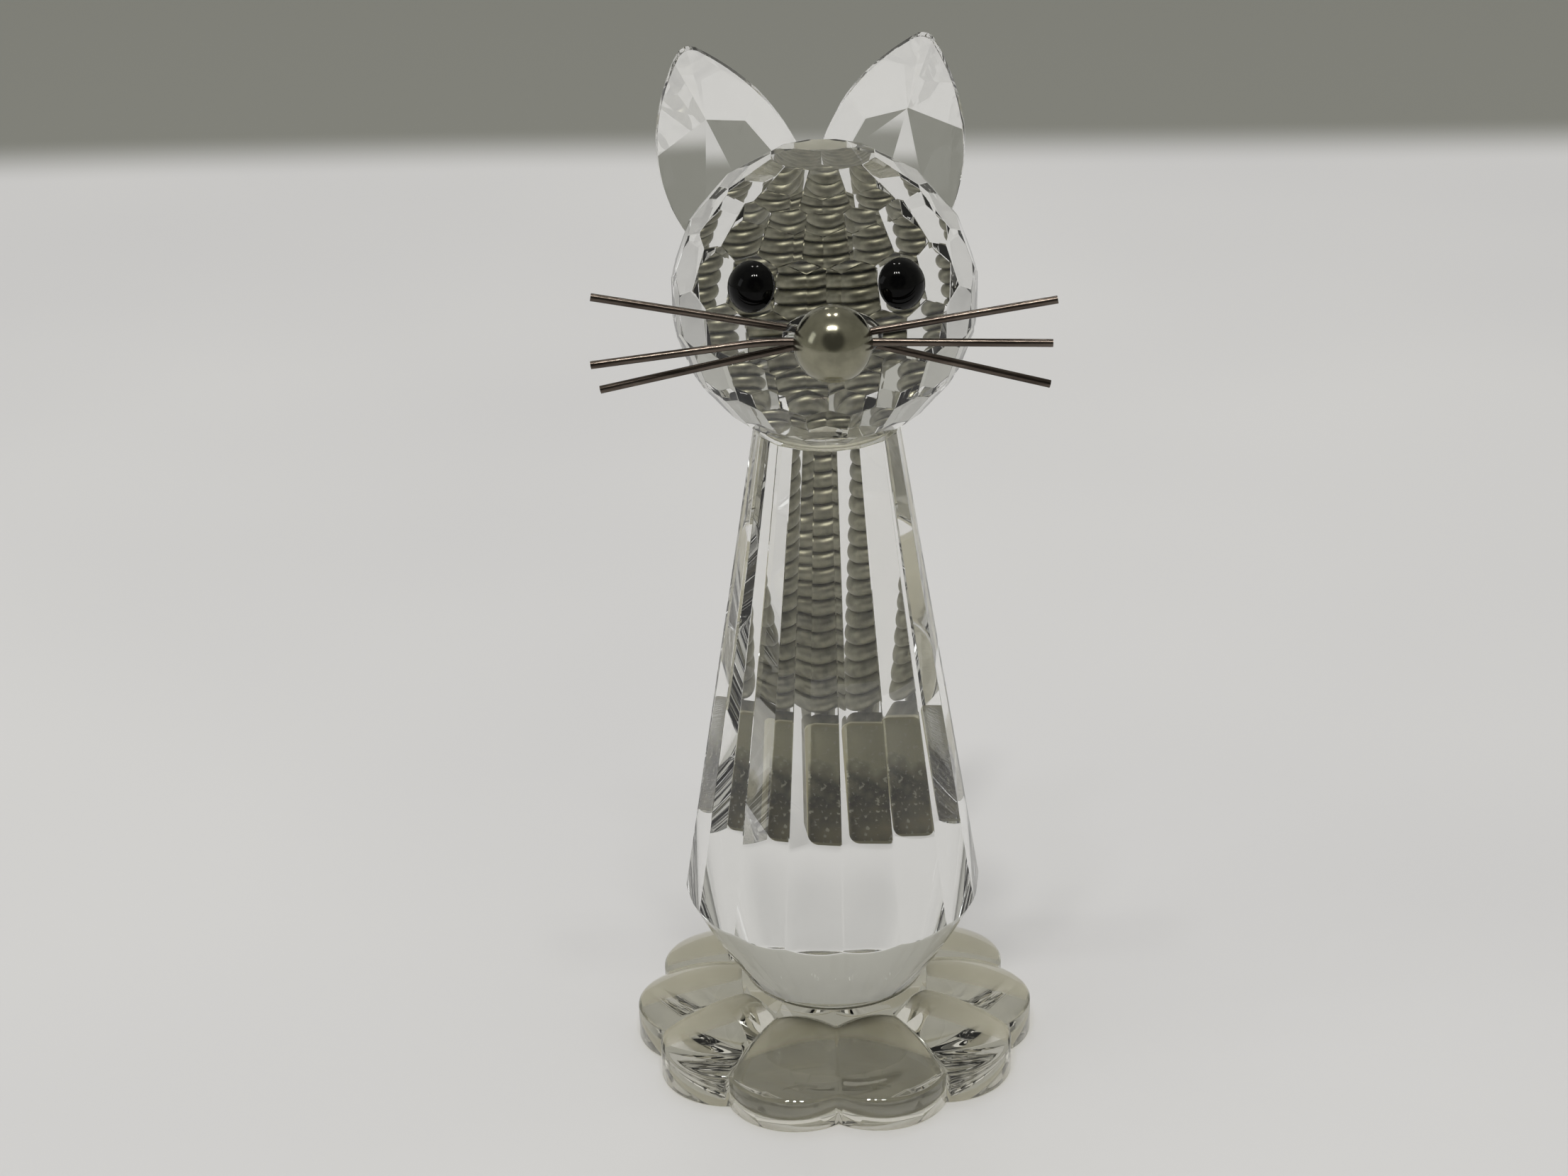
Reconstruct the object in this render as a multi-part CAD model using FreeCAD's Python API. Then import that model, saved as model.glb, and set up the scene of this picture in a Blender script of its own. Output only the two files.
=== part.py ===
import FreeCAD, Part
import math
import os

from FreeCAD import Vector

# A crystal cat figurine: a flower base, a faceted body, a faceted ball head and a spring tail.
# Frame: origin at the centre of the flat underside, +Z up, the face looks towards -Y.
# Lengths are millimetres and angles are degrees. An azimuth is 0 at the front and grows towards +X.

BOND = 0.1                   # thickness of a clear adhesive bond

# Flower base
PETALS = 10
PETAL_RING_R = 9.0           # centres of the round petal outlines
PETAL_R = 4.9
CREST_INNER = (5.0, 4.55)    # (radius, height) along a petal's crest
CREST_MIDDLE = (9.9, 4.05)
CREST_OUTER = (14.5, 1.85)
DOME_AXIS_FOOT = (5.7, 2.0)  # (radius, height) on the axis that a petal's dome is turned about
DOME_AXIS_DIP = 64.0
DOME_SKIRT = 9.0             # length of the dome's solid below its outer end
PETAL_TOP = 8.0              # height of the blank that a petal is cut from
HUB_FOOT_R = 8.6
SEAT_R = 6.25
SEAT_Z = 5.15

# Body
BODY_FLATS = 16
BODY_EDGE_AZIMUTH = 3.0
BODY_BOTTOM_Z = SEAT_Z + BOND
BODY_BOTTOM_R = 6.2
BOWL_MIDDLE = (8.72, 9.2)
BOWL_TOP = (10.8, 13.25)
GIRDLE_R = 10.27             # across the corners of the sixteen flats
GIRDLE_Z = 11.8
BODY_TOP_R = 4.82
BODY_TOP_Z = 46.1

# Head
HEAD_Z = 55.1
HEAD_FACET_D = 9.72          # from the centre to each small facet
# Polar angle, number of facets and turn of each ring
HEAD_RINGS = (
    (90, 18, 0), (70, 18, 10), (110, 18, 10), (50, 18, 0), (130, 18, 0), (31, 12, 0), (149, 12, 0))
HEAD_TOP_D = 9.35
HEAD_BOTTOM_Z = BODY_TOP_Z + BOND

# Eyes
EYE_R = 1.62
EYE_WALL = 0.2
EYE_DOME = 1.1
EYE_AZIMUTH = 30.0
EYE_ELEVATION = 20.0

# Nose and whiskers
NOSE_R = 2.45
NOSE = Vector(0.3, -12.0, 56.05)
NOSE_BACK_Y = -10.12
WHISKER_R = 0.25
WHISKER_DEPTHS = (-10.38, -10.9, -11.42)
WHISKER_BEND_R = 20.0
NOSE_SLOT_HALF = 0.85
NOSE_BEAD = (3.1, 0.95, 1.7)  # half sizes of the adhesive bead behind the nose
NOSE_BEAD_Y = -10.45
# Left end, bend and right end of each wire, as (x, z) from the nose's centre
WHISKERS = {
    "whisker_left_top": ((-14.8, 2.77), (0.0, 0.0), (13.45, -3.5)),
    "whisker_left_bottom": ((-14.4, -3.1), (0.0, 0.0), (13.8, 2.2)),
    "whisker_middle": ((-14.9, -1.28), (-4.0, 0.05), (13.5, -0.43)),
}

# Ears: almond stones with a flat face towards the head
EAR_AZIMUTH = 12.0
EAR_ELEVATION = 12.0
EAR_FACE_D = 10.08           # from the head's centre to the stone's flat face
EAR_GIRDLE = 0.5             # height of the stone's edge above its flat face
EAR_THICKNESS = 2.2
EAR_FACETS = 10
EAR_STAR_SLOPE = 9.0         # of the star's facets below its point
EAR_RIM_SLOPE = 28.0         # of the facets along the stone's edge
EAR_TIP_R = 0.9
EAR_FOOT_Z = 55.6
EAR_MEET_GAP = 0.12
EAR_MEET_X = -0.55
EAR_BOND_R = 1.7
# Place of the almond's middle in its own plane (outwards, up), lean, half length and two bulges
EARS = {
    "ear_left": (-1, (2.59, 3.26), 25.1, 11.1, 5.8, 3.6, 4.8),
    "ear_right": (1, (2.29, 3.13), 16.6, 11.2, 5.0, 4.6, 4.7),
}

# Tail: its plate lies on one of the rear flats
TAIL_FLAT = 7                # number of that flat, counted from the front
PLATE_W = 3.6
PLATE_SHIFT = -0.25          # sideways from the flat's middle
PLATE_H = 10.0
PLATE_T = 0.6
PLATE_CORNER_R = 0.8
PLATE_BOTTOM_Z = 12.0
TAIL_LEAN = 7.0
TAIL_START = Vector(0.5, 10.55, 21.2)
PIN_R = 0.72
PIN_BELOW = 3.4
PIN_ABOVE = 2.6
WIRE_R = 0.5
COIL_R = 1.3
COIL_PITCH = 1.06
# Start along the tail's axis and number of turns of each stretch of the spring
COILS = {
    "tail_coil_foot": (0.0, 2),
    "tail_coil_lower": (3.65, 9),
    "tail_coil_upper": (14.5, 21),
}

BIG = 120.0


def ray(azimuth, elevation=0.0):
    """Unit vector at an azimuth from the front and an elevation above the horizon."""
    a = math.radians(azimuth)
    e = math.radians(elevation)
    return Vector(math.sin(a) * math.cos(e), -math.cos(a) * math.cos(e), math.sin(e))


def across(normal):
    """Two unit vectors that span the plane with this normal."""
    helper = Vector(0, 0, 1) if abs(normal.z) < 0.9 else Vector(1, 0, 0)
    first = helper.cross(normal).normalize()
    return first, normal.cross(first)


def clip(polygon, normal, distance):
    """Keep the part of a polygon on the inner side of a plane."""
    kept = []
    for here, after in zip(polygon, polygon[1:] + polygon[:1]):
        side_here = here.dot(normal) - distance
        side_after = after.dot(normal) - distance
        if side_here <= 0:
            kept.append(here)
        if side_here * side_after < 0:
            kept.append(here + (after - here) * (side_here / (side_here - side_after)))
    return kept


def cut_gem(planes):
    """Convex solid bounded by (normal, distance) planes."""
    faces = []
    for index, (normal, distance) in enumerate(planes):
        u, v = across(normal)
        middle = normal * distance
        polygon = [middle + u * a + v * b for a, b in ((-BIG, -BIG), (BIG, -BIG), (BIG, BIG), (-BIG, BIG))]
        for other, (cut_normal, cut_distance) in enumerate(planes):
            if other != index:
                polygon = clip(polygon, cut_normal, cut_distance)
        corners = [p for p, q in zip(polygon, polygon[1:] + polygon[:1]) if (p - q).Length > 1e-6]
        if len(corners) > 2:
            faces.append(Part.Face(Part.makePolygon(corners + corners[:1])))
    shell = Part.makeShell(faces)
    shell.sewShape()
    return outward(Part.Solid(shell))


def outward(solid):
    """The solid with its faces looking out."""
    if solid.Volume < 0:
        solid.reverse()
    return solid


def half_space(normal, point):
    """A large block on the outer side of a plane through a point."""
    block = Part.makeBox(BIG, BIG, BIG, Vector(-BIG / 2, -BIG / 2, 0))
    block.Placement = FreeCAD.Placement(point, FreeCAD.Rotation(Vector(0, 0, 1), normal))
    return block


def turned(points, start, direction):
    """Solid made by turning a closed outline of edges about an axis."""
    return Part.Face(Part.Wire(points)).revolve(start, direction, 360)


def line(a, b):
    return Part.LineSegment(a, b).toShape()


def arc(a, b, c):
    return Part.Arc(a, b, c).toShape()


def only_solid(shape):
    """The single solid of a boolean result."""
    return shape.removeSplitter().Solids[0]


# ---------------------------------------------------------------- base

def petal():
    """One domed petal that points along +X."""
    dip = math.radians(DOME_AXIS_DIP)
    along = Vector(math.cos(dip), 0, -math.sin(dip))
    foot = Vector(DOME_AXIS_FOOT[0], 0, DOME_AXIS_FOOT[1])
    inner, middle, outer = (Vector(r, 0, z) for r, z in (CREST_INNER, CREST_MIDDLE, CREST_OUTER))
    inner_on_axis = foot + along * (inner - foot).dot(along)
    skirt_on_axis = foot + along * ((outer - foot).dot(along) + DOME_SKIRT)
    skirt = outer + along * DOME_SKIRT
    outline = [
        line(inner_on_axis, inner),
        arc(inner, middle, outer),
        line(outer, skirt),
        line(skirt, skirt_on_axis),
        line(skirt_on_axis, inner_on_axis),
    ]
    dome = turned(outline, foot, along)
    blank = Part.makeCylinder(PETAL_R, PETAL_TOP, Vector(PETAL_RING_R, 0, 0))
    return blank.common(dome)


def flower_base():
    """Ten domed petals around a raised round seat."""
    first = petal()
    step = 360.0 / PETALS
    hub = Part.makeCone(HUB_FOOT_R, SEAT_R, SEAT_Z)
    petals = []
    for index in range(PETALS):
        copy = first.copy()
        copy.rotate(Vector(0, 0, 0), Vector(0, 0, 1), -90 + step * (index + 0.5))
        petals.append(copy)
    return only_solid(hub.multiFuse(petals))


# ---------------------------------------------------------------- body and head

def body_cone():
    """Sixteen long flats above a smooth turned bowl."""
    half_step = math.radians(180.0 / BODY_FLATS)
    girdle = GIRDLE_R * math.cos(half_step)
    top = BODY_TOP_R * math.cos(half_step)
    slope = math.degrees(math.atan((girdle - top) / (BODY_TOP_Z - GIRDLE_Z)))
    planes = [(Vector(0, 0, 1), BODY_TOP_Z), (Vector(0, 0, -1), -BODY_BOTTOM_Z)]
    for index in range(BODY_FLATS):
        azimuth = BODY_EDGE_AZIMUTH + 360.0 / BODY_FLATS * (index + 0.5)
        point = ray(azimuth) * girdle + Vector(0, 0, GIRDLE_Z)
        normal = ray(azimuth, slope)
        planes.append((normal, normal.dot(point)))
    bottom = Vector(BODY_BOTTOM_R, 0, BODY_BOTTOM_Z)
    rim = Vector(BOWL_TOP[0], 0, BOWL_TOP[1])
    outline = [
        line(Vector(0, 0, BODY_BOTTOM_Z), bottom),
        arc(bottom, Vector(BOWL_MIDDLE[0], 0, BOWL_MIDDLE[1]), rim),
        line(rim, Vector(rim.x, 0, BODY_TOP_Z)),
        line(Vector(rim.x, 0, BODY_TOP_Z), Vector(0, 0, BODY_TOP_Z)),
        line(Vector(0, 0, BODY_TOP_Z), Vector(0, 0, BODY_BOTTOM_Z)),
    ]
    bowl = turned(outline, Vector(0, 0, 0), Vector(0, 0, 1))
    return only_solid(cut_gem(planes).common(bowl))


def head_ball():
    """Ball cut with staggered rings of facets between two flat tables."""
    planes = [(Vector(0, 0, 1), HEAD_TOP_D), (Vector(0, 0, -1), HEAD_Z - HEAD_BOTTOM_Z)]
    for polar, count, turn in HEAD_RINGS:
        for index in range(count):
            azimuth = turn + 360.0 / count * index
            planes.append((ray(azimuth, 90 - polar), HEAD_FACET_D))
    ball = cut_gem(planes)
    ball.translate(Vector(0, 0, HEAD_Z))
    return ball


def round_bond(radius, z):
    """Thin disc of clear adhesive."""
    return Part.makeCylinder(radius, BOND, Vector(0, 0, z))


# ---------------------------------------------------------------- eyes

def eye(side):
    """Domed stone and its adhesive disc on a facet of the head."""
    out = ray(side * EYE_AZIMUTH, EYE_ELEVATION)
    facet = Vector(0, 0, HEAD_Z) + out * HEAD_FACET_D
    bond = Part.makeCylinder(EYE_R - 2 * BOND, BOND, facet, out)
    back = facet + out * BOND
    wall = Part.makeCylinder(EYE_R, EYE_WALL, back, out)
    dome_r = (EYE_R ** 2 + EYE_DOME ** 2) / (2 * EYE_DOME)
    front = back + out * EYE_WALL
    ball = Part.makeSphere(dome_r, front + out * (EYE_DOME - dome_r))
    cap = ball.cut(half_space(out * -1, front))
    return only_solid(wall.fuse(cap)), bond


# ---------------------------------------------------------------- nose and whiskers

def whisker(ends, depth):
    """One wire with a soft bend, from the left side to the right side."""
    left, bend, right = (NOSE + Vector(x, 0, z) for x, z in ends)
    for point in (left, bend, right):
        point.y = depth
    to_left = (left - bend).normalize()
    to_right = (right - bend).normalize()
    half_turn = (math.pi - to_left.getAngle(to_right)) / 2
    reach = WHISKER_BEND_R * math.tan(half_turn)
    start = bend + to_left * reach
    end = bend + to_right * reach
    inward = (to_left + to_right).normalize()
    centre = bend + inward * (WHISKER_BEND_R / math.cos(half_turn))
    middle = centre - inward * WHISKER_BEND_R
    path = Part.Wire([line(left, start), arc(start, middle, end), line(end, right)])
    section = Part.Wire(Part.Circle(left, to_left, WHISKER_R).toShape())
    return outward(path.makePipeShell([section], True, False))


def nose_ball():
    """Metal ball with a flat back and a slot that the wires pass through."""
    ball = Part.makeSphere(NOSE_R, NOSE)
    ball = ball.cut(half_space(Vector(0, 1, 0), Vector(0, NOSE_BACK_Y, HEAD_Z)))
    slot_front = WHISKER_DEPTHS[-1] - WHISKER_R
    slot = Part.makeBox(
        4 * NOSE_R, NOSE_BACK_Y - slot_front, 2 * NOSE_SLOT_HALF,
        Vector(NOSE.x - 2 * NOSE_R, slot_front, NOSE.z - NOSE_SLOT_HALF))
    return only_solid(ball.cut(slot))


def nose_bead(head, nose, wires):
    """Clear adhesive that fills the space between head, nose and wires."""
    bead = Part.makeSphere(1.0)
    stretch = FreeCAD.Matrix()
    stretch.scale(Vector(*NOSE_BEAD))
    bead = bead.transformGeometry(stretch)
    bead.translate(Vector(NOSE.x, NOSE_BEAD_Y, NOSE.z))
    rest = bead.cut([head, nose] + wires)
    return max(rest.Solids, key=lambda solid: solid.Volume)


# ---------------------------------------------------------------- ears

class EarFrame:
    """Place of an ear stone: its middle, outward and long directions, and its normal."""

    def __init__(self, side, middle, lean):
        self.normal = ray(180 - side * EAR_AZIMUTH, EAR_ELEVATION)
        level = Vector(0, 0, 1).cross(self.normal).normalize()
        level = level * (side if level.x > 0 else -side)
        rise = level.cross(self.normal)
        rise = rise * (1 if rise.z > 0 else -1)
        tilt = math.radians(lean)
        self.long = rise * math.cos(tilt) + level * math.sin(tilt)
        self.out = level * math.cos(tilt) - rise * math.sin(tilt)
        self.middle = (Vector(0, 0, HEAD_Z) + self.normal * EAR_FACE_D
                       + level * middle[0] + rise * middle[1])

    def at(self, out, along, height=0.0):
        return self.middle + self.out * out + self.long * along + self.normal * height


def almond_reach(direction, star, half, bulges):
    """How far an almond reaches from its star point in one direction."""
    best = 0.0
    for bulge in bulges:
        sign = 1 if bulge > 0 else -1
        radius = (half ** 2 + bulge ** 2) / (2 * abs(bulge))
        spread = math.asin(half / radius)
        for step in range(-24, 25):
            angle = spread * step / 24
            out = bulge - sign * radius * (1 - math.cos(angle))
            along = radius * math.sin(angle)
            best = max(best, out * direction[0] + (along - star) * direction[1])
    return best


def ear(side, middle, lean, half, bulge_out, bulge_in, star):
    """Almond stone with a flat front and a star of facets behind, and its adhesive dab."""
    frame = EarFrame(side, middle, lean)
    tip = frame.at(0, half)
    foot = frame.at(0, -half)
    outline = Part.Wire([
        arc(foot, frame.at(bulge_out, 0), tip),
        arc(tip, frame.at(-bulge_in, 0), foot),
    ])
    stone = Part.Face(outline).extrude(frame.normal * EAR_THICKNESS)
    tip_edges = [e for e in stone.Edges if all((v.Point - tip).dot(frame.long) > -0.01 for v in e.Vertexes)]
    stone = stone.makeFillet(EAR_TIP_R, tip_edges)
    rise = EAR_THICKNESS - EAR_GIRDLE
    apex = frame.at((bulge_out - bulge_in) / 2, star, EAR_THICKNESS)
    for index in range(EAR_FACETS):
        angle = 2 * math.pi * (index + 0.5) / EAR_FACETS
        direction = (math.sin(angle), math.cos(angle))
        centred = (bulge_out - bulge_in) / 2
        reach = almond_reach(direction, star, half, (bulge_out, -bulge_in)) - centred * direction[0]
        flat = frame.out * direction[0] + frame.long * direction[1]
        slope = rise / reach
        if direction[1] < 0:
            slope = math.tan(math.radians(EAR_STAR_SLOPE))
            rim = apex + flat * reach - frame.normal * rise
            rim_slope = math.tan(math.radians(EAR_RIM_SLOPE))
            stone = stone.cut(half_space((flat * rim_slope + frame.normal).normalize(), rim))
        stone = stone.cut(half_space((flat * slope + frame.normal).normalize(), apex))
    stone = stone.cut(half_space(Vector(0, 0, -1), Vector(0, 0, EAR_FOOT_Z)))
    meet_x = EAR_MEET_X + side * EAR_MEET_GAP
    stone = stone.cut(half_space(Vector(-side, 0, 0), Vector(meet_x, 0, HEAD_Z)))
    return only_solid(stone), frame


def ear_bond(frame, head):
    """Clear dab between the head's facets and an ear's flat face."""
    centre = Vector(0, 0, HEAD_Z) + frame.normal * EAR_FACE_D
    dab = Part.makeCylinder(EAR_BOND_R, 2.0, centre, frame.normal * -1)
    rest = dab.cut(head)
    return max(rest.Solids, key=lambda solid: solid.Volume)


# ---------------------------------------------------------------- tail

def tail_direction():
    lean = math.radians(TAIL_LEAN)
    return Vector(0, math.sin(lean), math.cos(lean))


def plate_block(thickness, gap):
    """Upright plate with round corners, lying along one of the rear flats."""
    shrink = math.cos(math.radians(180.0 / BODY_FLATS))
    slope = (GIRDLE_R - BODY_TOP_R) * shrink / (BODY_TOP_Z - GIRDLE_Z)
    distance = GIRDLE_R * shrink - slope * (PLATE_BOTTOM_Z - GIRDLE_Z)
    azimuth = BODY_EDGE_AZIMUTH + 360.0 / BODY_FLATS * (TAIL_FLAT + 0.5)
    side = ray(azimuth - 90)
    up = (ray(azimuth) * -slope + Vector(0, 0, 1)).normalize()
    inward = side.cross(up)
    foot = ray(azimuth) * distance + Vector(0, 0, PLATE_BOTTOM_Z)
    plate = Part.makeBox(PLATE_W, PLATE_H, thickness, Vector(PLATE_SHIFT - PLATE_W / 2, 0, 0))
    corners = [e for e in plate.Edges if abs((e.Vertexes[0].Point - e.Vertexes[1].Point).z) > thickness / 2]
    plate = plate.makeFillet(PLATE_CORNER_R, corners)
    plate.Placement = FreeCAD.Placement(
        foot - inward * (gap + thickness), FreeCAD.Rotation(side, up, inward, "XYZ"))
    return plate


def tail_plate():
    """Foot plate with the pin that holds the spring."""
    along = tail_direction()
    pin = Part.makeCylinder(PIN_R, PIN_BELOW + PIN_ABOVE, TAIL_START - along * PIN_BELOW, along)
    return only_solid(plate_block(PLATE_T, BOND).fuse(pin))


def coil(start, turns):
    """Close-wound round wire along the tail's axis."""
    helix = Part.makeHelix(COIL_PITCH, COIL_PITCH * turns, COIL_R)
    section = Part.Wire(Part.Circle(Vector(COIL_R, 0, 0), Vector(0, 1, 0), WIRE_R).toShape())
    spring = outward(Part.Wire(helix.Edges).makePipeShell([section], True, True))
    along = tail_direction()
    spring.Placement = FreeCAD.Placement(
        TAIL_START + along * (start + WIRE_R), FreeCAD.Rotation(Vector(0, 0, 1), along))
    return spring


# ---------------------------------------------------------------- assembly

def build():
    head = head_ball()
    nodes = {
        "flower_base": flower_base(),
        "base_bond": round_bond(BODY_BOTTOM_R - 2 * BOND, SEAT_Z),
        "body_cone": body_cone(),
        "neck_bond": round_bond(BODY_TOP_R * 0.9, BODY_TOP_Z),
        "head_ball": head,
    }
    for side, word in ((-1, "left"), (1, "right")):
        nodes["eye_" + word], nodes["eye_bond_" + word] = eye(side)
    for name, numbers in EARS.items():
        nodes[name], frame = ear(*numbers)
        nodes[name.replace("ear", "ear_bond")] = ear_bond(frame, head)
    for (name, ends), depth in zip(WHISKERS.items(), WHISKER_DEPTHS):
        nodes[name] = whisker(ends, depth)
    nodes["nose_ball"] = nose_ball()
    nodes["nose_bond"] = nose_bead(head, nodes["nose_ball"], [nodes[name] for name in WHISKERS])
    nodes["tail_plate"] = tail_plate()
    nodes["tail_bond"] = plate_block(BOND, 0)
    for name, (start, turns) in COILS.items():
        nodes[name] = coil(start, turns)
    return nodes


os.makedirs("parts", exist_ok=True)
for node_name, shape in build().items():
    box = shape.BoundBox
    print(node_name, shape.isValid(), round(shape.Volume, 2), len(shape.Solids),
          [round(n, 2) for n in (box.XMin, box.XMax, box.YMin, box.YMax, box.ZMin, box.ZMax)])
    shape.exportStep(os.path.join("parts", node_name + ".step"))
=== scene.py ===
import math

import bmesh
import bpy
from mathutils import Matrix, Vector


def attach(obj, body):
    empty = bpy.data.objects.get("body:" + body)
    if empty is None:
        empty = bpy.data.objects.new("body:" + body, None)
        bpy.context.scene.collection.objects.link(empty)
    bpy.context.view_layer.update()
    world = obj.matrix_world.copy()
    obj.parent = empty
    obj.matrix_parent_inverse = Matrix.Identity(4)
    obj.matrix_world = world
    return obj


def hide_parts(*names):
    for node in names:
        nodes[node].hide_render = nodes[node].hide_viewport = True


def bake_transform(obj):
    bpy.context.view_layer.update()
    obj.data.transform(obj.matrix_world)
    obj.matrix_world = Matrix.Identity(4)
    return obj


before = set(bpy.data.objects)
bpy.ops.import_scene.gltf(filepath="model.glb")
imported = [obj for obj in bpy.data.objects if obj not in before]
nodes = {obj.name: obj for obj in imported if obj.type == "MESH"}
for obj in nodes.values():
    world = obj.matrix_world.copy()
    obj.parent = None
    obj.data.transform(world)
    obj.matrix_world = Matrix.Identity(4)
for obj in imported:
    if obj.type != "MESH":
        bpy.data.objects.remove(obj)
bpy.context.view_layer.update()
scene = bpy.context.scene
MM = 0.001

# Camera: at the photograph's height, distance and tilt
CAMERA_PLACE = Vector((-3.0, -203.0, 126.0)) * MM
CAMERA_PITCH = math.radians(24.3)
CAMERA_ROLL = math.radians(-1.14)
CAMERA_LENS = 76.2
CAMERA_SENSOR = 36.0

# Table: pale up to its far edge, with a darker strip of floor beyond it and pale floor behind that
TABLE_HALF_WIDTH = 1.2
TABLE_NEAR = -1.0
TABLE_FAR = 0.9
TABLE_Z = -0.03 * MM                        # a trace of air under the base
STRIP_START = (216 * MM, 236 * MM)
STRIP_END = (318 * MM, 338 * MM)
EDGE_WAVE = 20 * MM

# Lights: places and sizes in metres, powers in watts
AIM = Vector((0.0, 0.0, 0.03))
FILL_PLACE = (0.0, 0.15, 1.3)
FILL_SIZE = (1.6, 1.2)
FILL_POWER = 3.7
LAMP_SIZE = (0.07, 0.13)
LAMP_POWER = 3.0
LAMP_PLACES = ((-0.24, -0.5, 1.25), (-0.06, -0.5, 1.25), (0.12, -0.5, 1.25))
REAR_LAMP_POWER = 0.8
REAR_LAMP_PLACES = ((-0.16, 0.5, 1.2), (0.14, 0.5, 1.2))
WINDOW_PLACE = (-1.0, -0.3, 0.5)
WINDOW_SIZE = (0.3, 0.5)
WINDOW_POWER = 0.6
COOL = (0.95, 0.98, 1.0)
WARM = (1.0, 0.98, 0.94)
NEUTRAL = (0.99, 0.99, 1.0)

# Room: height, brightness and warmth from the horizon up, and a dark part in one direction
ROOM_TONES = ((0.0, 0.42, 0.05), (0.3, 0.33, 0.05), (1.0, 0.36, 0.04))
DARK_SIDE = Vector((0.0, -0.87, 0.5))
DARK_SIDE_EDGE = (0.76, 0.92)               # cosines where it fades in and is full
DARK_SIDE_TONE = (0.1, 0.05)

# Crystal and adhesive: colour of what shines through, and colour of the shadow
CRYSTAL_IOR = 1.545
CRYSTAL_TINT = (0.985, 0.985, 0.968, 1)
CRYSTAL_SHADE = (0.9, 0.9, 0.89, 1)
# The flower's tint is darker than the crystal's: painted shade for the dim light under the base.
FLOWER_TINT_WITH_PAINTED_SHADE = (0.89, 0.875, 0.79, 1)
FLOWER_SHADE = (0.77, 0.755, 0.68, 1)
ADHESIVE_TINT = (0.95, 0.95, 0.92, 1)
ADHESIVE_SHADE = (0.85, 0.85, 0.83, 1)
ADHESIVE_ROUGHNESS = 0.1
MILKY_DARK = (0.4, 0.39, 0.32, 1)
MILKY_LIGHT = (0.6, 0.59, 0.5, 1)
MILKY_REACH = 0.5 * MM                      # how far light spreads inside it

# Film over the foot plate, from its bottom to its top: olive, with a painted reflection that makes it
# darker low down and paler at the top
FILM_TONES_WITH_PAINTED_REFLECTION = ((0.25, (0.2, 0.175, 0.1, 1)), (0.62, (0.06, 0.055, 0.04, 1)), (1.0, (0.44, 0.425, 0.29, 1)))
FILM_CLOUDS = 1.3                           # how far the clouds shift those tones
FILM_HEIGHTS = (-0.4, 0.6)                  # place in those tones of its bottom and its top
FILM_FLECK = (0.5, 0.49, 0.39, 1)
FILM_RIM = (0.46, 0.43, 0.28, 1)
FILM_RIM_WIDTH = (0.055, 0.022)             # parts of its width and height

# Metals and eyes
NOSE_TONES = (0.22, 0.32)
TAIL_TONES = (0.15, 0.29)
WIRE_DARK = (0.055, 0.044, 0.037, 1)
WIRE_LIGHT = (0.15, 0.124, 0.104, 1)
EYE_IOR = 1.45
EYE_SHINE = 0.13

# Table top and floor
TABLE_TONES = ((0.60, 0.60, 0.615, 1), (0.64, 0.64, 0.65, 1))
FLOOR_TONE = (0.215, 0.218, 0.198, 1)

# Finishing of the cut stones
STONE_BEVEL = 0.035 * MM
EAR_BEVEL = 0.03 * MM
FLOWER_BEVEL = 0.04 * MM
EDGE_ANGLE = math.radians(7.0)              # only edges that bend more are bevelled
EAR_EDGE_ANGLE = math.radians(15.0)
SAME_POINT = 0.0004 * MM
FLAT_ANGLE = math.radians(0.15)

# Body stone, as the part has it
BODY_FLATS = 16
BODY_EDGE_AZIMUTH = math.radians(3.0)
BODY_BOTTOM = (6.2 * MM, 5.25 * MM)
BOWL_MIDDLE = (8.72 * MM, 9.2 * MM)
BOWL_TOP = (10.8 * MM, 13.25 * MM)
GIRDLE_R = 10.27 * MM
GIRDLE_Z = 11.8 * MM
BODY_TOP_R = 4.82 * MM
BODY_TOP_Z = 46.1 * MM
FLAT_COLUMNS = 16
BOWL_ROWS = 24

# Flower base, as the part has it
PETALS = 10
PETAL_RING_R = 9.0 * MM
PETAL_R = 4.9 * MM
CREST = ((5.0 * MM, 4.55 * MM), (9.9 * MM, 4.05 * MM), (14.5 * MM, 1.85 * MM))
DOME_AXIS_FOOT = (5.7 * MM, 2.0 * MM)
DOME_AXIS_DIP = math.radians(64.0)
PETAL_CEILING = 6.0 * MM                    # above every dome
HUB_FOOT_R = 8.6 * MM
SEAT_R = 6.25 * MM
SEAT_Z = 5.15 * MM
PETAL_COLUMNS = 28
PETAL_ROWS = 26

# Spring tail, as the part has it
TAIL_LEAN = math.radians(7.0)
TAIL_START = Vector((0.5, 10.55, 21.2)) * MM
TAIL_LENGTH = 37.4 * MM
WIRE_R = 0.5 * MM
COIL_R = 1.3 * MM
COIL_PITCH = 1.035 * MM
SPRING_SPLIT = 8.0 * MM
WIRE_SIDES = 20
STEPS_PER_TURN = 40
FULL_TURN = 2 * math.pi

# Sockets of a Mix node in colour mode, whose names aren't unique
MIX_FACTOR, MIX_FIRST, MIX_SECOND, MIX_RESULT = 0, 6, 7, 2


# ---------------------------------------------------------------- helpers

def link(obj):
    scene.collection.objects.link(obj)
    return obj


def new_object(mesh, material):
    """Object with a mesh's own name and one material."""
    mesh.materials.append(material)
    return link(bpy.data.objects.new(mesh.name, mesh))


def paint(obj, material):
    """Gives one material to every slot of an object."""
    obj.data.materials.clear()
    obj.data.materials.append(material)


def new_material(name):
    """Empty node material with its output and a Principled shader."""
    material = bpy.data.materials.new(name)
    material.use_nodes = True
    tree = material.node_tree
    tree.nodes.clear()
    output = tree.nodes.new("ShaderNodeOutputMaterial")
    shader = tree.nodes.new("ShaderNodeBsdfPrincipled")
    tree.links.new(shader.outputs["BSDF"], output.inputs["Surface"])
    return material, tree, shader, output


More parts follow.
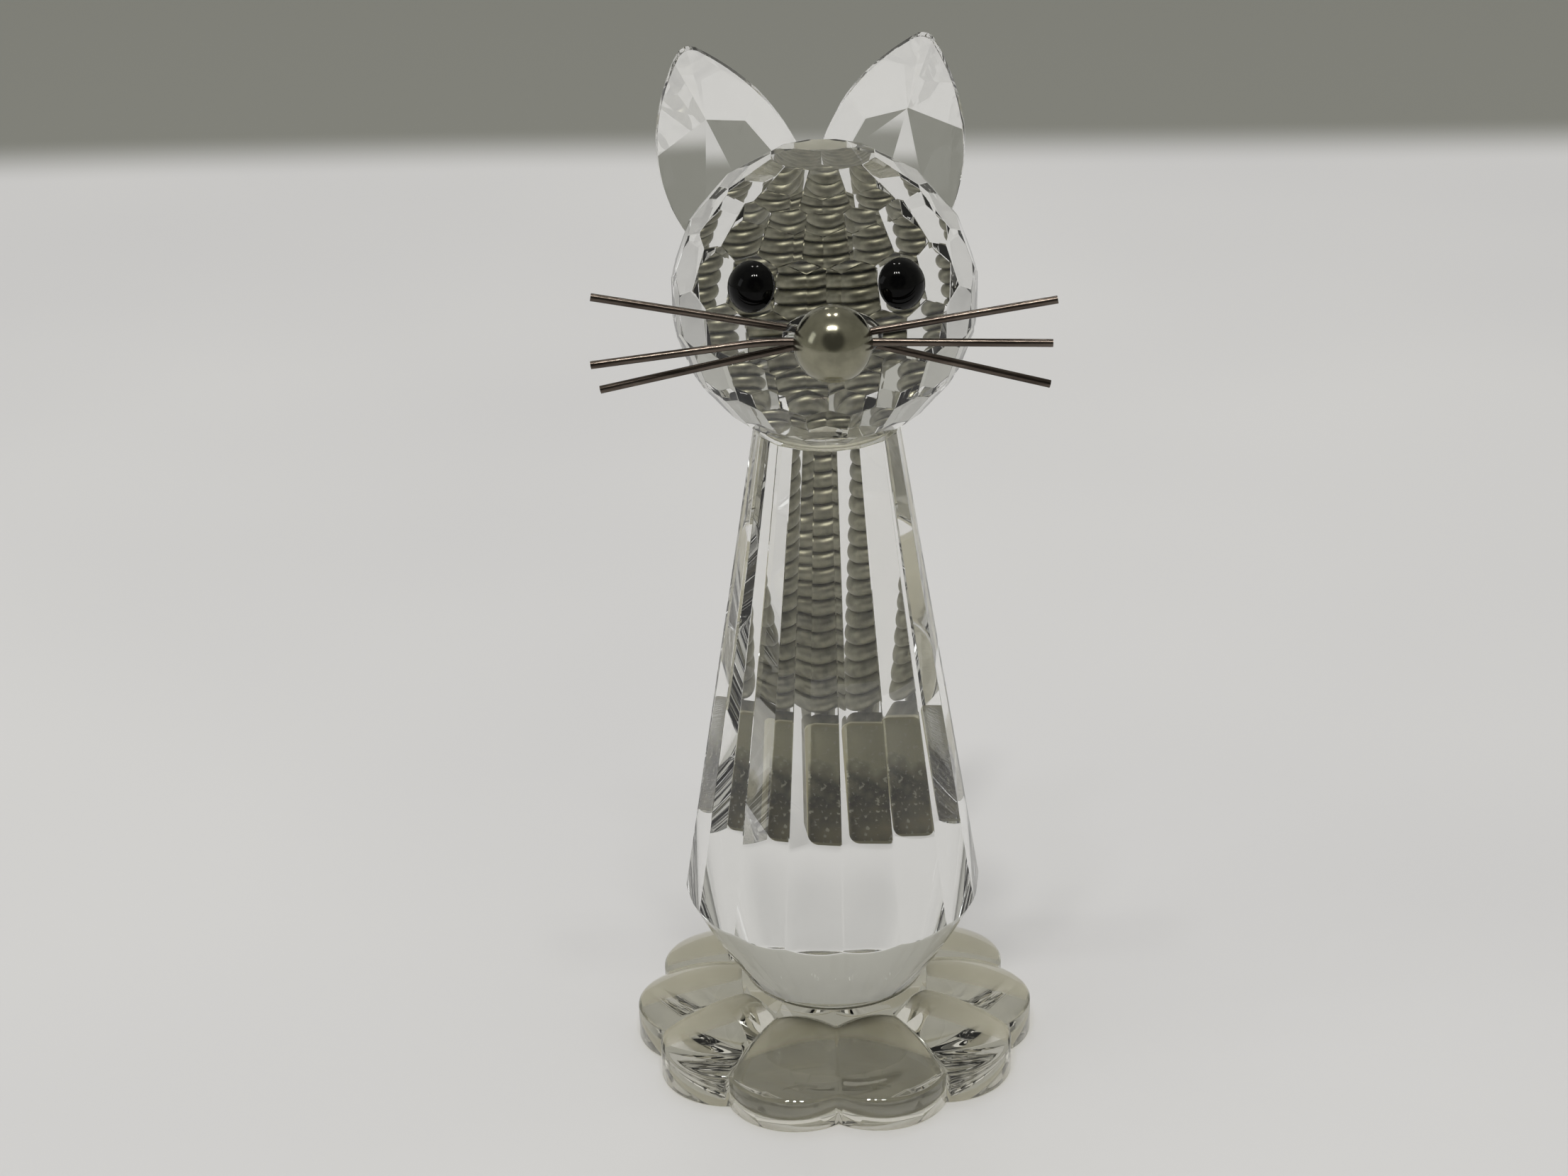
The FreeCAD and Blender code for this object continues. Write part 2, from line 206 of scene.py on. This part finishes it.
def add_node(tree, kind, **values):
    """Node whose values are sockets where it has them, and settings otherwise."""
    node = tree.nodes.new(kind)
    for key, value in values.items():
        if key in node.inputs:
            node.inputs[key].default_value = value
        else:
            setattr(node, key, value)
    return node


def noise_texture(tree, scale, detail=3.0, stretch=(1, 1, 1)):
    """Noise over the object's own coordinates, in metres."""
    place = add_node(tree, "ShaderNodeTexCoord")
    mapping = add_node(tree, "ShaderNodeMapping")
    mapping.inputs["Scale"].default_value = stretch
    texture = add_node(tree, "ShaderNodeTexNoise", Scale=scale, Detail=detail)
    tree.links.new(place.outputs["Object"], mapping.inputs["Vector"])
    tree.links.new(mapping.outputs["Vector"], texture.inputs["Vector"])
    return texture


def ramp(tree, source, stops):
    """Colour ramp with (position, colour) stops driven by a socket."""
    node = add_node(tree, "ShaderNodeValToRGB")
    elements = node.color_ramp.elements
    elements[0].position, elements[0].color = stops[0]
    elements[1].position, elements[1].color = stops[-1]
    for position, color in stops[1:-1]:
        element = elements.new(position)
        element.color = color
    tree.links.new(source, node.inputs["Fac"])
    return node


def grey(value, warm=0.0):
    """Grey that leans to olive as the warmth grows."""
    return (value, value * (1 - 0.25 * warm), value * (1 - 2 * warm), 1.0)


def scale_to(tree, source, low, high):
    """Maps a socket's 0 to 1 onto low to high."""
    node = add_node(tree, "ShaderNodeMapRange")
    node.inputs["To Min"].default_value = low
    node.inputs["To Max"].default_value = high
    tree.links.new(source, node.inputs["Value"])
    return node.outputs["Result"]


def bump(tree, shader, height, strength, distance):
    """Lets a height socket tilt a shader's normals."""
    node = add_node(tree, "ShaderNodeBump", Strength=strength, Distance=distance)
    tree.links.new(height, node.inputs["Height"])
    tree.links.new(node.outputs["Normal"], shader.inputs["Normal"])


def blend_colors(tree, fac, first, second):
    """Mix of two colours, each given as a value or as a socket."""
    mix = add_node(tree, "ShaderNodeMix", data_type="RGBA")
    for socket, value in ((mix.inputs[MIX_FIRST], first), (mix.inputs[MIX_SECOND], second)):
        if isinstance(value, bpy.types.NodeSocket):
            tree.links.new(value, socket)
        else:
            socket.default_value = value
    tree.links.new(fac, mix.inputs[MIX_FACTOR])
    return mix.outputs[MIX_RESULT]


def near_edge(tree, source, width):
    """One within a width of either end of a 0 to 1 range, and zero between."""
    centred = add_node(tree, "ShaderNodeMath", operation="SUBTRACT")
    tree.links.new(source, centred.inputs[0])
    centred.inputs[1].default_value = 0.5
    size = add_node(tree, "ShaderNodeMath", operation="ABSOLUTE")
    tree.links.new(centred.outputs["Value"], size.inputs[0])
    edge = add_node(tree, "ShaderNodeMath", operation="GREATER_THAN")
    tree.links.new(size.outputs["Value"], edge.inputs[0])
    edge.inputs[1].default_value = 0.5 - width
    return edge.outputs["Value"]


def step_between(tree, source, start, end):
    """Smooth step of a socket from zero at the start to one at the end."""
    step = add_node(tree, "ShaderNodeMapRange", interpolation_type="SMOOTHSTEP")
    step.inputs["From Min"].default_value = start
    step.inputs["From Max"].default_value = end
    tree.links.new(source, step.inputs["Value"])
    return step.outputs["Result"]


# ---------------------------------------------------------------- materials

def clear_material(name, tint, shade, roughness=0.0):
    """Clear solid that refracts, and lets most lamp light through. Any roughness comes in patches."""
    material, tree, shader, output = new_material(name)
    shader.inputs["Transmission Weight"].default_value = 1.0
    shader.inputs["IOR"].default_value = CRYSTAL_IOR
    shader.inputs["Base Color"].default_value = tint
    shader.inputs["Roughness"].default_value = 0.0
    if roughness:
        film = noise_texture(tree, 900.0, detail=4.0)
        tree.links.new(scale_to(tree, film.outputs["Fac"], 0.0, roughness), shader.inputs["Roughness"])
    clear = add_node(tree, "ShaderNodeBsdfTransparent", Color=shade)
    path = add_node(tree, "ShaderNodeLightPath")
    mix = add_node(tree, "ShaderNodeMixShader")
    tree.links.new(path.outputs["Is Shadow Ray"], mix.inputs["Fac"])
    tree.links.new(shader.outputs["BSDF"], mix.inputs[1])
    tree.links.new(clear.outputs["BSDF"], mix.inputs[2])
    tree.links.new(mix.outputs["Shader"], output.inputs["Surface"])
    return material


def metal_material(name, tones, rough, grain, scratch, stretch=(1, 1, 1)):
    """Dulled metal: a dark and a light tone in patches, uneven roughness and fine scratches."""
    material, tree, shader, _ = new_material(name)
    shader.inputs["Metallic"].default_value = 1.0
    patches = noise_texture(tree, grain, detail=5.0, stretch=stretch)
    tone = ramp(tree, patches.outputs["Fac"], [(0.3, tones[0]), (0.7, tones[1])])
    tree.links.new(tone.outputs["Color"], shader.inputs["Base Color"])
    fine = noise_texture(tree, grain * 6, stretch=stretch)
    tree.links.new(scale_to(tree, fine.outputs["Fac"], rough[0], rough[1]), shader.inputs["Roughness"])
    bump(tree, shader, fine.outputs["Fac"], scratch, 0.02 * MM)
    return material


def milky_bond_material():
    """Cured adhesive between two stones, milky with faint clouds."""
    material, tree, shader, _ = new_material("milky_adhesive")
    shader.inputs["Subsurface Weight"].default_value = 1.0
    shader.inputs["Subsurface Radius"].default_value = (1.0, 1.0, 1.0)
    shader.inputs["Subsurface Scale"].default_value = MILKY_REACH
    cloud = noise_texture(tree, 700.0, detail=4.0)
    tone = ramp(tree, cloud.outputs["Fac"], [(0.3, MILKY_DARK), (0.7, MILKY_LIGHT)])
    tree.links.new(tone.outputs["Color"], shader.inputs["Base Color"])
    tree.links.new(scale_to(tree, cloud.outputs["Fac"], 0.25, 0.5), shader.inputs["Roughness"])
    return material


def eye_material():
    """Polished black glass with a trace of dust."""
    material, tree, shader, _ = new_material("black_glass")
    shader.inputs["IOR"].default_value = EYE_IOR
    shader.inputs["Specular IOR Level"].default_value = EYE_SHINE
    dust = noise_texture(tree, 2500.0, detail=4.0)
    tone = ramp(tree, dust.outputs["Fac"],
                [(0.45, (0.001, 0.001, 0.0012, 1)), (0.8, (0.004, 0.004, 0.0035, 1))])
    tree.links.new(tone.outputs["Color"], shader.inputs["Base Color"])
    tree.links.new(scale_to(tree, dust.outputs["Fac"], 0.03, 0.09), shader.inputs["Roughness"])
    return material


def foot_bond_material():
    """Olive adhesive film over the tail's foot plate: dark clouds, a pale rim and flecks, with a painted
    reflection that darkens it low down and pales it at the top.
    """
    material, tree, shader, _ = new_material("foot_bond")
    shader.inputs["Metallic"].default_value = 0.15
    place = add_node(tree, "ShaderNodeTexCoord")
    parts = add_node(tree, "ShaderNodeSeparateXYZ")
    tree.links.new(place.outputs["Generated"], parts.inputs["Vector"])
    patches = noise_texture(tree, 420.0, detail=6.0)
    cloudy = add_node(tree, "ShaderNodeMath", operation="MULTIPLY_ADD")
    tree.links.new(patches.outputs["Fac"], cloudy.inputs[0])
    cloudy.inputs[1].default_value = FILM_CLOUDS
    tree.links.new(scale_to(tree, parts.outputs["Z"], *FILM_HEIGHTS), cloudy.inputs[2])
    # painted reflection: the tones run darker low down and paler at the top
    film = ramp(tree, cloudy.outputs["Value"], FILM_TONES_WITH_PAINTED_REFLECTION)
    fleck = noise_texture(tree, 2600.0, detail=2.0)
    flecks = ramp(tree, fleck.outputs["Fac"], [(0.6, grey(0.0)), (0.67, grey(1.0))])
    specked = blend_colors(tree, flecks.outputs["Color"], film.outputs["Color"], FILM_FLECK)
    border = add_node(tree, "ShaderNodeMath", operation="MAXIMUM")
    tree.links.new(near_edge(tree, parts.outputs["X"], FILM_RIM_WIDTH[0]), border.inputs[0])
    tree.links.new(near_edge(tree, parts.outputs["Z"], FILM_RIM_WIDTH[1]), border.inputs[1])
    color = blend_colors(tree, border.outputs["Value"], specked, FILM_RIM)
    tree.links.new(color, shader.inputs["Base Color"])
    tree.links.new(scale_to(tree, patches.outputs["Fac"], 0.2, 0.5), shader.inputs["Roughness"])
    bump(tree, shader, patches.outputs["Fac"], 0.3, 0.05 * MM)
    return material


def table_material():
    """Pale table top with a darker strip past its far edge, along a slightly wavy line."""
    material, tree, shader, _ = new_material("table_top")
    shader.inputs["Roughness"].default_value = 0.62
    shader.inputs["Specular IOR Level"].default_value = 0.25
    place = add_node(tree, "ShaderNodeTexCoord")
    parts = add_node(tree, "ShaderNodeSeparateXYZ")
    tree.links.new(place.outputs["Object"], parts.inputs["Vector"])
    wave = noise_texture(tree, 4.0, detail=0.0)
    shift = add_node(tree, "ShaderNodeMath", operation="MULTIPLY_ADD")
    shift.inputs[1].default_value = EDGE_WAVE
    tree.links.new(wave.outputs["Fac"], shift.inputs[0])
    tree.links.new(parts.outputs["Y"], shift.inputs[2])
    strip = add_node(tree, "ShaderNodeMath", operation="SUBTRACT")
    tree.links.new(step_between(tree, shift.outputs["Value"], *STRIP_START), strip.inputs[0])
    tree.links.new(step_between(tree, shift.outputs["Value"], *STRIP_END), strip.inputs[1])
    cloud = noise_texture(tree, 9.0, detail=2.0)
    pale = ramp(tree, cloud.outputs["Fac"], [(0.35, TABLE_TONES[0]), (0.65, TABLE_TONES[1])])
    color = blend_colors(tree, strip.outputs["Value"], pale.outputs["Color"], FLOOR_TONE)
    tree.links.new(color, shader.inputs["Base Color"])
    return material


# ---------------------------------------------------------------- stage, lights and camera

def add_camera():
    data = bpy.data.cameras.new("camera")
    data.lens = CAMERA_LENS
    data.sensor_width = CAMERA_SENSOR
    data.clip_start = 0.01
    data.clip_end = 20.0
    camera = link(bpy.data.objects.new("camera", data))
    turn = Matrix.Rotation(math.pi / 2 - CAMERA_PITCH, 4, "X") @ Matrix.Rotation(CAMERA_ROLL, 4, "Z")
    camera.matrix_world = Matrix.Translation(CAMERA_PLACE) @ turn
    scene.camera = camera


def add_table(material):
    mesh = bpy.data.meshes.new("table_top")
    x = TABLE_HALF_WIDTH
    z = TABLE_Z
    corners = [(-x, TABLE_NEAR, z), (x, TABLE_NEAR, z), (x, TABLE_FAR, z), (-x, TABLE_FAR, z)]
    mesh.from_pydata(corners, [], [(0, 1, 2, 3)])
    new_object(mesh, material)


def add_lamp(name, place, size, power, color):
    """Rectangular lamp that shines towards the figurine."""
    data = bpy.data.lights.new(name, "AREA")
    data.shape = "RECTANGLE"
    data.size, data.size_y = size
    data.energy = power
    data.color = color
    lamp = link(bpy.data.objects.new(name, data))
    lamp.location = place
    lamp.rotation_euler = (AIM - Vector(place)).to_track_quat("-Z", "Y").to_euler()
    return lamp


def add_lights():
    """Broad fill from above, two rows of small lamps and a window at the side."""
    fill = add_lamp("fill_above", FILL_PLACE, FILL_SIZE, FILL_POWER, NEUTRAL)
    fill.visible_glossy = False
    fill.visible_transmission = False
    rows = (("ceiling_lamp", LAMP_PLACES, LAMP_POWER), ("rear_lamp", REAR_LAMP_PLACES, REAR_LAMP_POWER))
    for name, places, power in rows:
        for index, place in enumerate(places):
            lamp = add_lamp(f"{name}_{index}", place, LAMP_SIZE, power, WARM)
            lamp.visible_transmission = False
    add_lamp("side_window", WINDOW_PLACE, WINDOW_SIZE, WINDOW_POWER, COOL)


def add_world():
    """Soft grey room that is darker in one direction."""
    world = bpy.data.worlds.new("room")
    scene.world = world
    world.use_nodes = True
    tree = world.node_tree
    background = tree.nodes["Background"]
    place = add_node(tree, "ShaderNodeTexCoord")
    parts = add_node(tree, "ShaderNodeSeparateXYZ")
    tree.links.new(place.outputs["Generated"], parts.inputs["Vector"])
    stops = [(height, grey(value, warm)) for height, value, warm in ROOM_TONES]
    sky = ramp(tree, parts.outputs["Z"], stops)
    facing = add_node(tree, "ShaderNodeVectorMath", operation="DOT_PRODUCT")
    tree.links.new(place.outputs["Generated"], facing.inputs[0])
    facing.inputs[1].default_value = DARK_SIDE
    dark = step_between(tree, facing.outputs["Value"], *DARK_SIDE_EDGE)
    room = blend_colors(tree, dark, sky.outputs["Color"], grey(*DARK_SIDE_TONE))
    tree.links.new(room, background.inputs["Color"])
    background.inputs["Strength"].default_value = 1.0


def set_up_cycles():
    """Enough bounces for light that is reflected many times inside the stones."""
    scene.view_settings.view_transform = "Standard"
    scene.cycles.max_bounces = 24
    scene.cycles.transmission_bounces = 24
    scene.cycles.glossy_bounces = 8
    scene.cycles.transparent_max_bounces = 24
    scene.cycles.caustics_refractive = True
    scene.cycles.caustics_reflective = False
    scene.cycles.blur_glossy = 0.0
    scene.cycles.sample_clamp_indirect = 6.0


# ---------------------------------------------------------------- cut stones

def finish_stone(bm, node, name, material, bevel, edge_angle=EDGE_ANGLE):
    """Softens the edges of a closed stone and puts it in a CAD node's place."""
    bmesh.ops.recalc_face_normals(bm, faces=bm.faces)
    sharp = [e for e in bm.edges if len(e.link_faces) == 2 and e.calc_face_angle(0.0) > edge_angle]
    bmesh.ops.bevel(bm, geom=sharp, offset=bevel, segments=1, profile=0.5, affect="EDGES",
                    clamp_overlap=True, offset_type="OFFSET")
    mesh = bpy.data.meshes.new(name)
    bm.to_mesh(mesh)
    bm.free()
    stone = new_object(mesh, material)
    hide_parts(node)
    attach(stone, "figurine")


def cut_stone(node, name, material, bevel, edge_angle=EDGE_ANGLE):
    """Finished copy of a CAD stone that has flat facets only."""
    bm = bmesh.new()
    bm.from_mesh(nodes[node].data)
    bmesh.ops.remove_doubles(bm, verts=bm.verts, dist=SAME_POINT)
    bmesh.ops.dissolve_limit(bm, angle_limit=FLAT_ANGLE, verts=bm.verts, edges=bm.edges)
    for face in bm.faces:
        face.smooth = False
    finish_stone(bm, node, name, material, bevel, edge_angle)


def circle_through(a, b, c):
    """Centre and radius of the circle through three points of a plane."""
    (ax, ay), (bx, by), (cx, cy) = a, b, c
    d = 2 * (ax * (by - cy) + bx * (cy - ay) + cx * (ay - by))
    aa, bb, cc = ax * ax + ay * ay, bx * bx + by * by, cx * cx + cy * cy
    x = (aa * (by - cy) + bb * (cy - ay) + cc * (ay - by)) / d
    y = (aa * (cx - bx) + bb * (ax - cx) + cc * (bx - ax)) / d
    return x, y, math.hypot(ax - x, ay - y)


def bisect(function, low, high):
    """Root of a function between two bounds."""
    rising = function(high) > 0
    for _ in range(50):
        middle = (low + high) / 2
        if (function(middle) > 0) == rising:
            high = middle
        else:
            low = middle
    return (low + high) / 2


def skin(bm, rows):
    """Smooth quads between successive rings of vertices."""
    for below, above in zip(rows, rows[1:]):
        count = len(below)
        for k in range(count):
            after = (k + 1) % count
            bm.faces.new((below[k], below[after], above[after], above[k])).smooth = True


def body_stone(material):
    """Sixteen long flats over a smooth turned bowl that they cut in scallops."""
    cx, cy, radius = circle_through(BODY_BOTTOM, BOWL_MIDDLE, BOWL_TOP)
    start = math.atan2(BODY_BOTTOM[1] - cy, BODY_BOTTOM[0] - cx)
    end = math.atan2(BOWL_TOP[1] - cy, BOWL_TOP[0] - cx)
    half = math.pi / BODY_FLATS
    girdle = GIRDLE_R * math.cos(half)
    slope = (GIRDLE_R - BODY_TOP_R) * math.cos(half) / (BODY_TOP_Z - GIRDLE_Z)

    def bowl(t):
        angle = start + (end - start) * t
        return cx + radius * math.cos(angle), cy + radius * math.sin(angle)

    def outside(t, offset):
        r, z = bowl(t)
        return r * math.cos(offset) - (girdle - slope * (z - GIRDLE_Z))

    bm = bmesh.new()
    columns = BODY_FLATS * FLAT_COLUMNS
    rows = [[] for _ in range(BOWL_ROWS + 1)]
    for column in range(columns):
        offset = (column % FLAT_COLUMNS / FLAT_COLUMNS * 2 - 1) * half
        azimuth = BODY_EDGE_AZIMUTH + half * 2 * column / FLAT_COLUMNS
        top = bisect(lambda t: outside(t, offset), 0.0, 1.0)
        for row in range(BOWL_ROWS + 1):
            r, z = bowl(top * row / BOWL_ROWS)
            rows[row].append(bm.verts.new((r * math.sin(azimuth), -r * math.cos(azimuth), z)))
    skin(bm, rows)
    crown = []
    for index in range(BODY_FLATS):
        azimuth = BODY_EDGE_AZIMUTH + 2 * half * index
        corner = (BODY_TOP_R * math.sin(azimuth), -BODY_TOP_R * math.cos(azimuth), BODY_TOP_Z)
        crown.append(bm.verts.new(corner))
    for index in range(BODY_FLATS):
        scallop = [rows[-1][(index * FLAT_COLUMNS + k) % columns] for k in range(FLAT_COLUMNS + 1)]
        bm.faces.new(scallop + [crown[(index + 1) % BODY_FLATS], crown[index]])
    bm.faces.new(crown)
    bm.faces.new(list(reversed(rows[0])))
    finish_stone(bm, "body_cone", "body_stone", material, STONE_BEVEL)


def petal_height(along, side, circle):
    """Height of a petal's dome at a place along and beside its middle line."""
    cx, cz, radius = circle
    dip_x, dip_z = math.cos(DOME_AXIS_DIP), -math.sin(DOME_AXIS_DIP)
    foot_x, foot_z = DOME_AXIS_FOOT

    def above(z):
        s = (along - foot_x) * dip_x + (z - foot_z) * dip_z
        away = math.hypot((along - foot_x) * -dip_z + (z - foot_z) * dip_x, side)
        dx, dz = foot_x + s * dip_x - cx, foot_z + s * dip_z - cz
        run = dx * -dip_z + dz * dip_x
        lift = dx * dip_x + dz * dip_z
        crest = math.sqrt(max(radius * radius - lift * lift, 0.0)) - run
        return away - crest

    return bisect(above, 0.0, PETAL_CEILING)


def flower_stone(material):
    """Ten smooth petals around the raised seat, with upright rims."""
    circle = circle_through(*CREST)
    half = math.pi / PETALS
    bm = bmesh.new()
    columns = PETALS * PETAL_COLUMNS
    seat = []
    rows = [[] for _ in range(PETAL_ROWS + 1)]
    floor = []
    for column in range(columns):
        offset = (column % PETAL_COLUMNS / PETAL_COLUMNS * 2 - 1) * half
        azimuth = half * 2 * column / PETAL_COLUMNS
        chord = PETAL_R ** 2 - (PETAL_RING_R * math.sin(offset)) ** 2
        rim = PETAL_RING_R * math.cos(offset) + math.sqrt(chord)

        def height(r):
            return petal_height(r * math.cos(offset), r * math.sin(offset), circle)

        def below_hub(r):
            return height(r) - SEAT_Z * (HUB_FOOT_R - r) / (HUB_FOOT_R - SEAT_R)

        def place(r, z):
            return bm.verts.new((r * math.sin(azimuth), -r * math.cos(azimuth), z))

        crease = bisect(below_hub, SEAT_R, HUB_FOOT_R)
        seat.append(place(SEAT_R, SEAT_Z))
        for row in range(PETAL_ROWS + 1):
            r = crease + (rim - crease) * row / PETAL_ROWS
            rows[row].append(place(r, height(r)))
        floor.append(place(rim, 0.0))
    skin(bm, [seat] + rows + [floor])
    bm.faces.new(seat)
    bm.faces.new(list(reversed(floor)))
    finish_stone(bm, "flower_base", "flower_stone", material, FLOWER_BEVEL)


# ---------------------------------------------------------------- tail

def tail_frame():
    """Sideways, rearward and lengthwise directions of the tail."""
    along = Vector((0, math.sin(TAIL_LEAN), math.cos(TAIL_LEAN)))
    side = Vector((1, 0, 0))
    return side, along.cross(side), along


def coil_mesh(name, first, last):
    """Round wire wound about the tail's axis, with its middle between two distances along it."""
    side, back, along = tail_frame()
    start_angle = FULL_TURN * (first - WIRE_R) / COIL_PITCH
    end_angle = FULL_TURN * (last - WIRE_R) / COIL_PITCH
    steps = round((end_angle - start_angle) / FULL_TURN * STEPS_PER_TURN)
    rise = COIL_PITCH / (FULL_TURN * COIL_R)
    bm = bmesh.new()
    rings = []
    for step in range(steps + 1):
        angle = start_angle + (end_angle - start_angle) * step / steps
        out = side * math.cos(angle) + back * math.sin(angle)
        tangent = (back * math.cos(angle) - side * math.sin(angle) + along * rise).normalized()
        up = out.cross(tangent)
        centre = TAIL_START + along * (WIRE_R + COIL_PITCH * angle / FULL_TURN) + out * COIL_R
        ring = []
        for index in range(WIRE_SIDES):
            turn = FULL_TURN * index / WIRE_SIDES
            ring.append(bm.verts.new(centre + (out * math.cos(turn) + up * math.sin(turn)) * WIRE_R))
        rings.append(ring)
    skin(bm, rings)
    bm.faces.new(list(reversed(rings[0])))
    bm.faces.new(rings[-1])
    bmesh.ops.recalc_face_normals(bm, faces=bm.faces)
    mesh = bpy.data.meshes.new(name)
    bm.to_mesh(mesh)
    bm.free()
    return mesh


def add_tail(material):
    """The spring in two lengths, split at one place along it, in place of the CAD coil."""
    lower = new_object(coil_mesh("tail_spring_lower", WIRE_R, SPRING_SPLIT), material)
    upper = new_object(coil_mesh("tail_spring_upper", SPRING_SPLIT, TAIL_LENGTH - WIRE_R), material)
    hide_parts("tail_coil_foot", "tail_coil_lower")
    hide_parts("tail_coil_upper")
    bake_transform(lower)
    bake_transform(upper)


# ---------------------------------------------------------------- the figurine

set_up_cycles()
add_camera()
add_table(table_material())
add_lights()
add_world()

crystal = clear_material("crystal", CRYSTAL_TINT, CRYSTAL_SHADE)
# the flower glass carries painted shade in its darker tint
flower_crystal = clear_material("flower_crystal", FLOWER_TINT_WITH_PAINTED_SHADE, FLOWER_SHADE)
adhesive = clear_material("clear_adhesive", ADHESIVE_TINT, ADHESIVE_SHADE, ADHESIVE_ROUGHNESS)
milky_bond = milky_bond_material()
black_glass = eye_material()
nose_metal = metal_material("nose_metal", [grey(tone, 0.14) for tone in NOSE_TONES],
                            rough=(0.12, 0.2), grain=900.0, scratch=0.08)
wire_metal = metal_material("whisker_wire", (WIRE_DARK, WIRE_LIGHT),
                            rough=(0.16, 0.3), grain=2500.0, scratch=0.2, stretch=(0.08, 1, 1))
tail_metal = metal_material("tail_metal", [grey(tone, 0.13) for tone in TAIL_TONES],
                            rough=(0.34, 0.5), grain=1400.0, scratch=0.15)

cut_stone("head_ball", "head_stone", crystal, STONE_BEVEL)
body_stone(crystal)
cut_stone("ear_left", "ear_stone_left", crystal, EAR_BEVEL, EAR_EDGE_ANGLE)
cut_stone("ear_right", "ear_stone_right", crystal, EAR_BEVEL, EAR_EDGE_ANGLE)
flower_stone(flower_crystal)
for name in ("eye_bond_left", "eye_bond_right", "ear_bond_left", "ear_bond_right", "nose_bond"):
    paint(nodes[name], adhesive)
for name in ("base_bond", "neck_bond"):
    paint(nodes[name], milky_bond)
for name in ("eye_left", "eye_right"):
    paint(nodes[name], black_glass)
paint(nodes["nose_ball"], nose_metal)
for name in ("whisker_left_top", "whisker_left_bottom", "whisker_middle"):
    paint(nodes[name], wire_metal)
paint(nodes["tail_plate"], tail_metal)
paint(nodes["tail_bond"], foot_bond_material())
add_tail(tail_metal)
